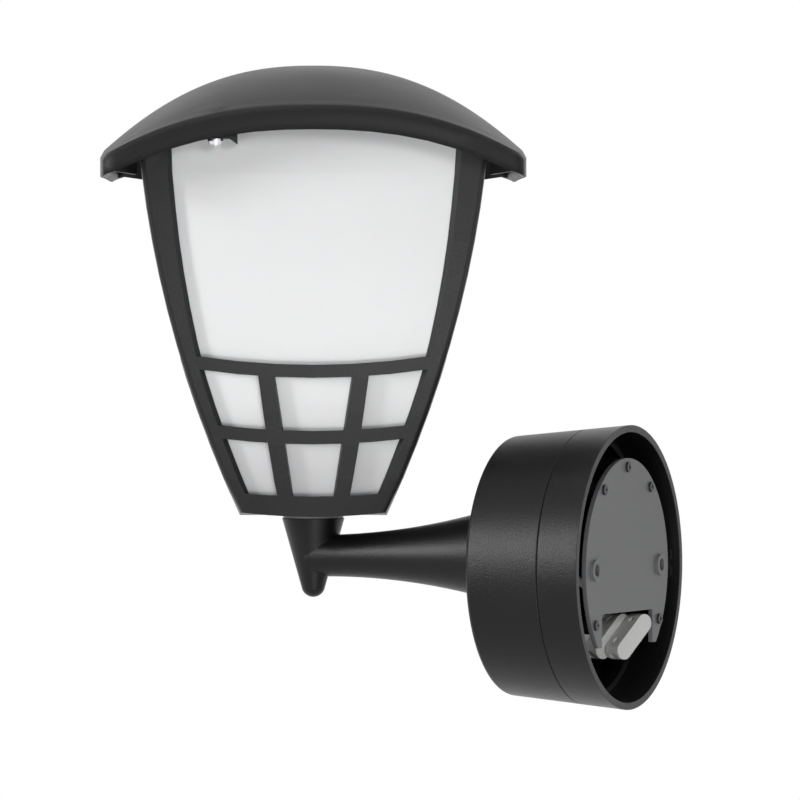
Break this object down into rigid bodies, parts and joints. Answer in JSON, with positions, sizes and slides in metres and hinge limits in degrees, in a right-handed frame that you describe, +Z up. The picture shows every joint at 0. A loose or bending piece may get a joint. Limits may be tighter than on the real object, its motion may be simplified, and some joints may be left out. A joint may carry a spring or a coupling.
{
  "type": "outdoor wall light",
  "caption": "Square outdoor lantern with a domed roof and an opal diffuser in a barred frame, on a trumpet arm with a round wall canister.",
  "frame": {"origin": "centre of the canister's rear rim, midway between the two wall screw holes, on the wall", "axes": "+Z up, +X into the wall, so the arm reaches out along -X; +Y to the left as seen facing the wall"},
  "size_m": [0.2659, 0.2342, 0.2773],
  "materials": {
    "charcoal_plastic": "fine grained matt",
    "opal_plastic": "opal white satin",
    "bright_screw": "bright",
    "dark_screw": "black oxide",
    "zinc_steel": "zinc plated",
    "plate_steel": "grey, satin",
    "foam_rubber": "matt",
    "holder_plastic": "semi-gloss",
    "ceramic": "glazed",
    "brass": "bright",
    "pale_washer": "satin",
    "white_plastic": "matt",
    "lead_sheath": "matt"
  },
  "bodies": {
    "wall_unit": {"holder_base": "holder_plastic", "holder_shell": "holder_plastic", "holder_insulator": "ceramic", "holder_thread": "brass", "centre_contact": "brass", "contact_screws": "zinc_steel", "threaded_tube": "zinc_steel", "nut_washer": "zinc_steel", "lock_nut": "zinc_steel", "swivel_washer": "pale_washer", "arm": "charcoal_plastic", "arm_screws": "zinc_steel", "canister_front": "charcoal_plastic", "canister_ring": "charcoal_plastic", "ring_screws": "dark_screw", "mounting_plate": "plate_steel", "plate_screws": "dark_screw", "terminal_block": "white_plastic", "terminal_inserts": "brass", "terminal_screws": "zinc_steel", "lamp_lead": "lead_sheath"},
    "lantern": {"roof": "charcoal_plastic", "roof_screws": "bright_screw", "lantern_frame": "charcoal_plastic", "diffuser": "opal_plastic", "diffuser_seal": "foam_rubber"}
  },
  "joints": [
    {"name": "lantern_swivel", "type": "hinge", "parent": "wall_unit", "child": "lantern", "pos_m": [-0.1488, 0, 0], "axis": [0, 0, 1], "range_deg": [-114.4, 65.6]}
  ]
}
